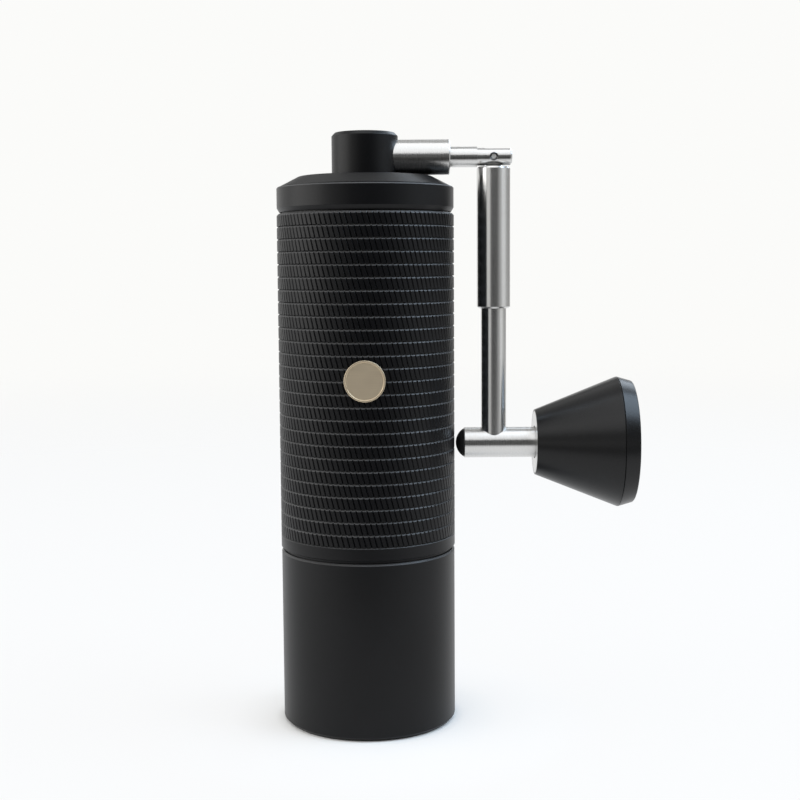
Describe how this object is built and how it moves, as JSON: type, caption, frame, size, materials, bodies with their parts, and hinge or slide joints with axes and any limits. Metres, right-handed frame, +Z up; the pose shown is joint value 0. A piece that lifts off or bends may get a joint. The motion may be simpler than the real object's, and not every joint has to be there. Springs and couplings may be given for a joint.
{
  "type": "hand crank coffee grinder",
  "caption": "Slim hand coffee grinder: knurled barrel over a screw-on catch cup, lift-off lid, conical burrs on a driven shaft, and a folding crank with lock sleeve and cone knob.",
  "frame": {"origin": "centre of the catch cup's flat base", "axes": "+Z up along the barrel, +X towards the folded crank handle, -Y towards the badge"},
  "size_m": [0.1057, 0.0527, 0.1761],
  "materials": {
    "black_anodised": "matt black anodised",
    "brushed_steel": "turned and brushed stainless steel",
    "hard_steel": "ground steel",
    "burr_steel": "machined burr steel",
    "spring_steel": "drawn spring wire",
    "badge_metal": "champagne nickel, fine brushed",
    "black_rubber": "matt rubber",
    "knob_black": "satin black",
    "bush_nylon": "natural nylon",
    "hopper_plastic": "moulded dark grey plastic",
    "dial_black": "black anodised"
  },
  "bodies": {
    "cup": {"catch_cup": "black_anodised"},
    "barrel": {"barrel": "black_anodised", "badge": "badge_metal", "lower_bridge": "hopper_plastic", "upper_bridge": "hopper_plastic", "hopper_liner": "hopper_plastic", "outer_burr": "burr_steel", "burr_ring": "hard_steel", "upper_bearing_outer": "hard_steel", "lower_bearing_outer": "hard_steel"},
    "shaft": {"drive_shaft": "hard_steel", "upper_bearing_inner": "hard_steel", "lower_bearing_inner": "hard_steel", "shaft_clip": "hard_steel", "burr_spring": "spring_steel"},
    "burr": {"inner_burr": "burr_steel", "click_plate": "hard_steel"},
    "dial": {"adjust_dial": "dial_black"},
    "lid": {"lid": "black_anodised", "lid_o_ring": "black_rubber", "lid_bushing": "bush_nylon"},
    "crank": {"crank_hub": "black_anodised", "drive_socket": "hard_steel", "hub_clip": "hard_steel", "stub_tube": "brushed_steel", "fork_rod": "brushed_steel", "hinge_pin": "hard_steel"},
    "arm": {"arm_rod": "brushed_steel", "knob_tube": "brushed_steel", "bumper": "black_rubber", "knob_axle": "hard_steel", "sleeve_spring": "spring_steel"},
    "sleeve": {"lock_sleeve": "brushed_steel"},
    "knob": {"knob": "knob_black", "knob_face_ring": "brushed_steel", "knob_cap": "knob_black", "knob_bush_inner": "bush_nylon", "knob_bush_outer": "bush_nylon"}
  },
  "joints": [
    {"name": "barrel_lift", "type": "slide", "parent": "cup", "child": "barrel", "axis": [0, 0, 1], "range_m": [0, 0.06]},
    {"name": "shaft_spin", "type": "hinge", "parent": "barrel", "child": "shaft", "pos_m": [0, 0, 0.1], "axis": [0, 0, 1], "continuous": true},
    {"name": "burr_adjust", "type": "slide", "parent": "shaft", "child": "burr", "axis": [0, 0, -1], "range_m": [-0.00025, 0.001], "deforming": ["burr_spring"]},
    {"name": "dial_turn", "type": "hinge", "parent": "burr", "child": "dial", "pos_m": [0, 0, 0.04], "axis": [0, 0, -1], "range_deg": [-180, 720]},
    {"name": "lid_lift", "type": "slide", "parent": "barrel", "child": "lid", "axis": [0, 0, 1], "range_m": [0, 0.1]},
    {"name": "crank_spin", "type": "hinge", "parent": "lid", "child": "crank", "pos_m": [0, 0, 0.16], "axis": [0, 0, 1], "continuous": true},
    {"name": "handle_fold", "type": "hinge", "parent": "crank", "child": "arm", "pos_m": [0.03805, 0, 0.16886], "axis": [0, -1, 0], "range_deg": [0, 90]},
    {"name": "sleeve_slide", "type": "slide", "parent": "arm", "child": "sleeve", "axis": [0, 0, -1], "range_m": [0, 0.0081], "deforming": ["sleeve_spring"]},
    {"name": "knob_spin", "type": "hinge", "parent": "arm", "child": "knob", "pos_m": [0.06, 0, 0.08381], "axis": [1, 0, 0], "continuous": true}
  ],
  "couplings": [
    {"joint": "shaft_spin", "follows": "crank_spin", "ratio": 1},
    {"joint": "handle_fold", "follows": "sleeve_slide", "rad_per_m": 193.92},
    {"joint": "dial_turn", "follows": "burr_adjust", "rad_per_m": 12566}
  ]
}
